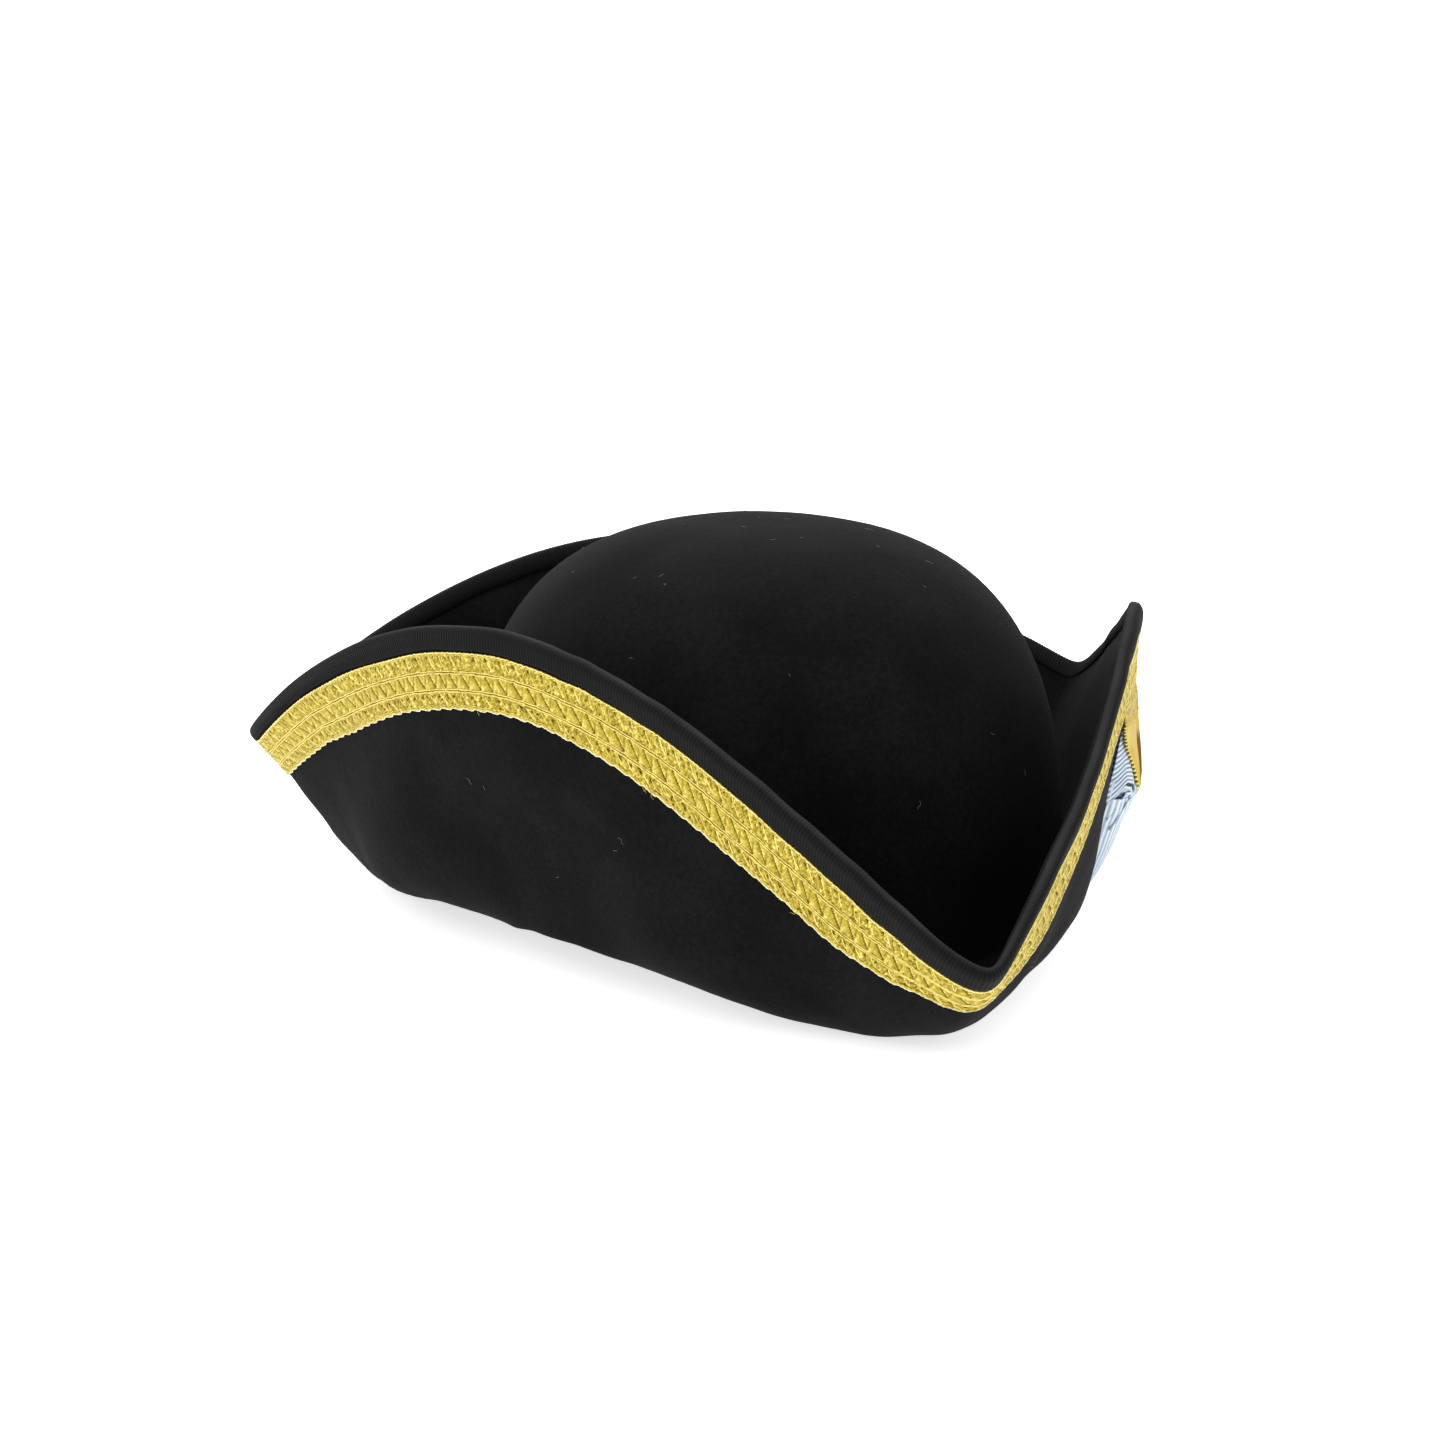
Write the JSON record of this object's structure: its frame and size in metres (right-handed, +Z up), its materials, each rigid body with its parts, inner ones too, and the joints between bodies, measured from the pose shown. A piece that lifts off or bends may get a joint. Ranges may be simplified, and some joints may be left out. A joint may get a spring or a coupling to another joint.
{
  "type": "tricorn hat",
  "caption": "Black felt tricorn hat with a domed crown, brim turned up in panels, ribbon-bound edge, gold braid and a pale ribbon cockade under a gold strap.",
  "frame": {"origin": "on the surface that the hat rests on, under the middle of its box", "axes": "+Z up, the front spout points to -Y, and the wearer's left is +X"},
  "size_m": [0.292, 0.3134, 0.1212],
  "materials": {
    "felt": "matt wool felt",
    "binding": "ribbed grosgrain",
    "braid": "shiny woven metal thread",
    "cockade": "ribbed grosgrain",
    "strap": "satin ribbon"
  },
  "bodies": {
    "root": {"felt_body": "felt", "edge_binding": "binding", "gold_braid": "braid", "cockade_loop_upper": "cockade", "cockade_loop_front": "cockade", "cockade_loop_lower": "cockade", "cockade_loop_rear": "cockade", "cockade_knot": "cockade", "gold_strap": "strap"}
  },
  "joints": []
}
